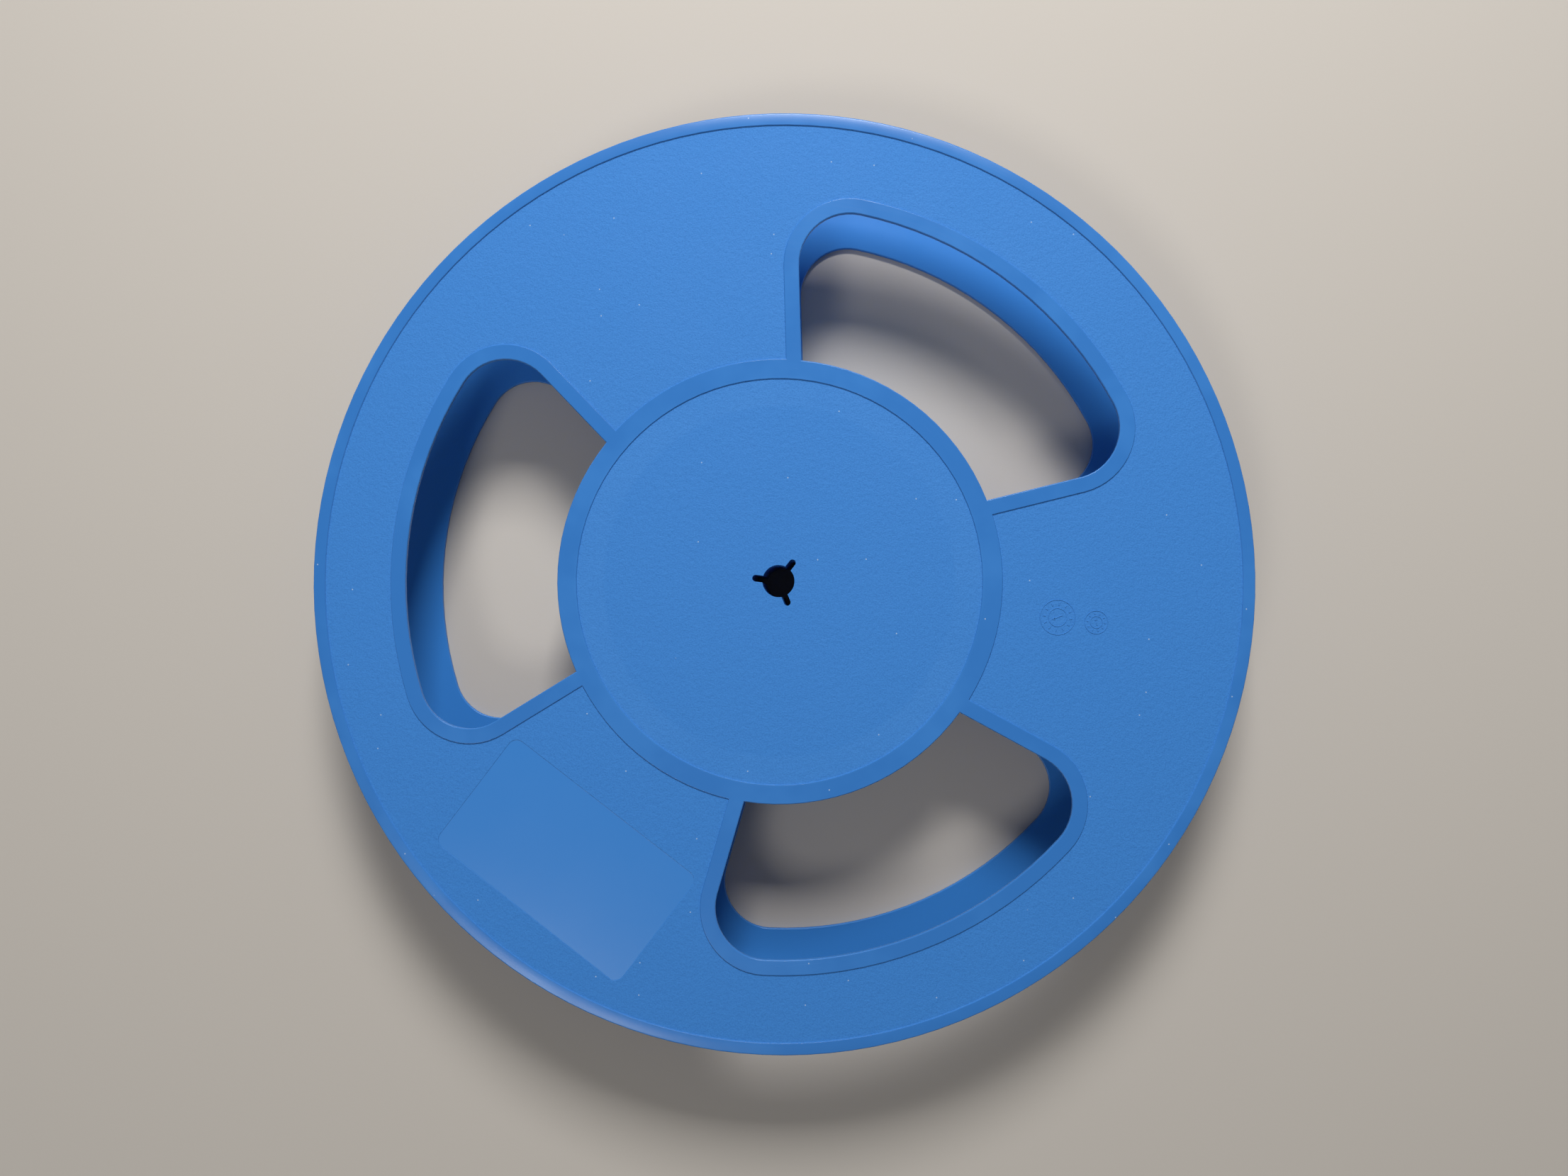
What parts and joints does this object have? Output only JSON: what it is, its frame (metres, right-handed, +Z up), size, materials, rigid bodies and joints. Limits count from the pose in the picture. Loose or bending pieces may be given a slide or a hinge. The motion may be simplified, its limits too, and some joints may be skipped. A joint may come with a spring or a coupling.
{
  "type": "smd tape reel",
  "caption": "Large blue plastic reel for surface-mount carrier tape: windowed flanges with raised bands, a wide drum, and an arbor hole with drive slots.",
  "frame": {"origin": "centre of the lower flange's outer face, on the arbor hole's axis, where the reel rests", "axes": "+Z up along the arbor hole; +X through the middle of the spoke opposite the left window"},
  "size_m": [0.381, 0.381, 0.049],
  "materials": {
    "upper_moulding": "blue polystyrene: fine matte grain on the panels, smooth satin on the raised bands and the label field",
    "lower_moulding": "the same blue polystyrene, smooth where it faces the tape"
  },
  "bodies": {
    "root": {"upper_half": "upper_moulding", "lower_half": "lower_moulding"}
  },
  "joints": []
}
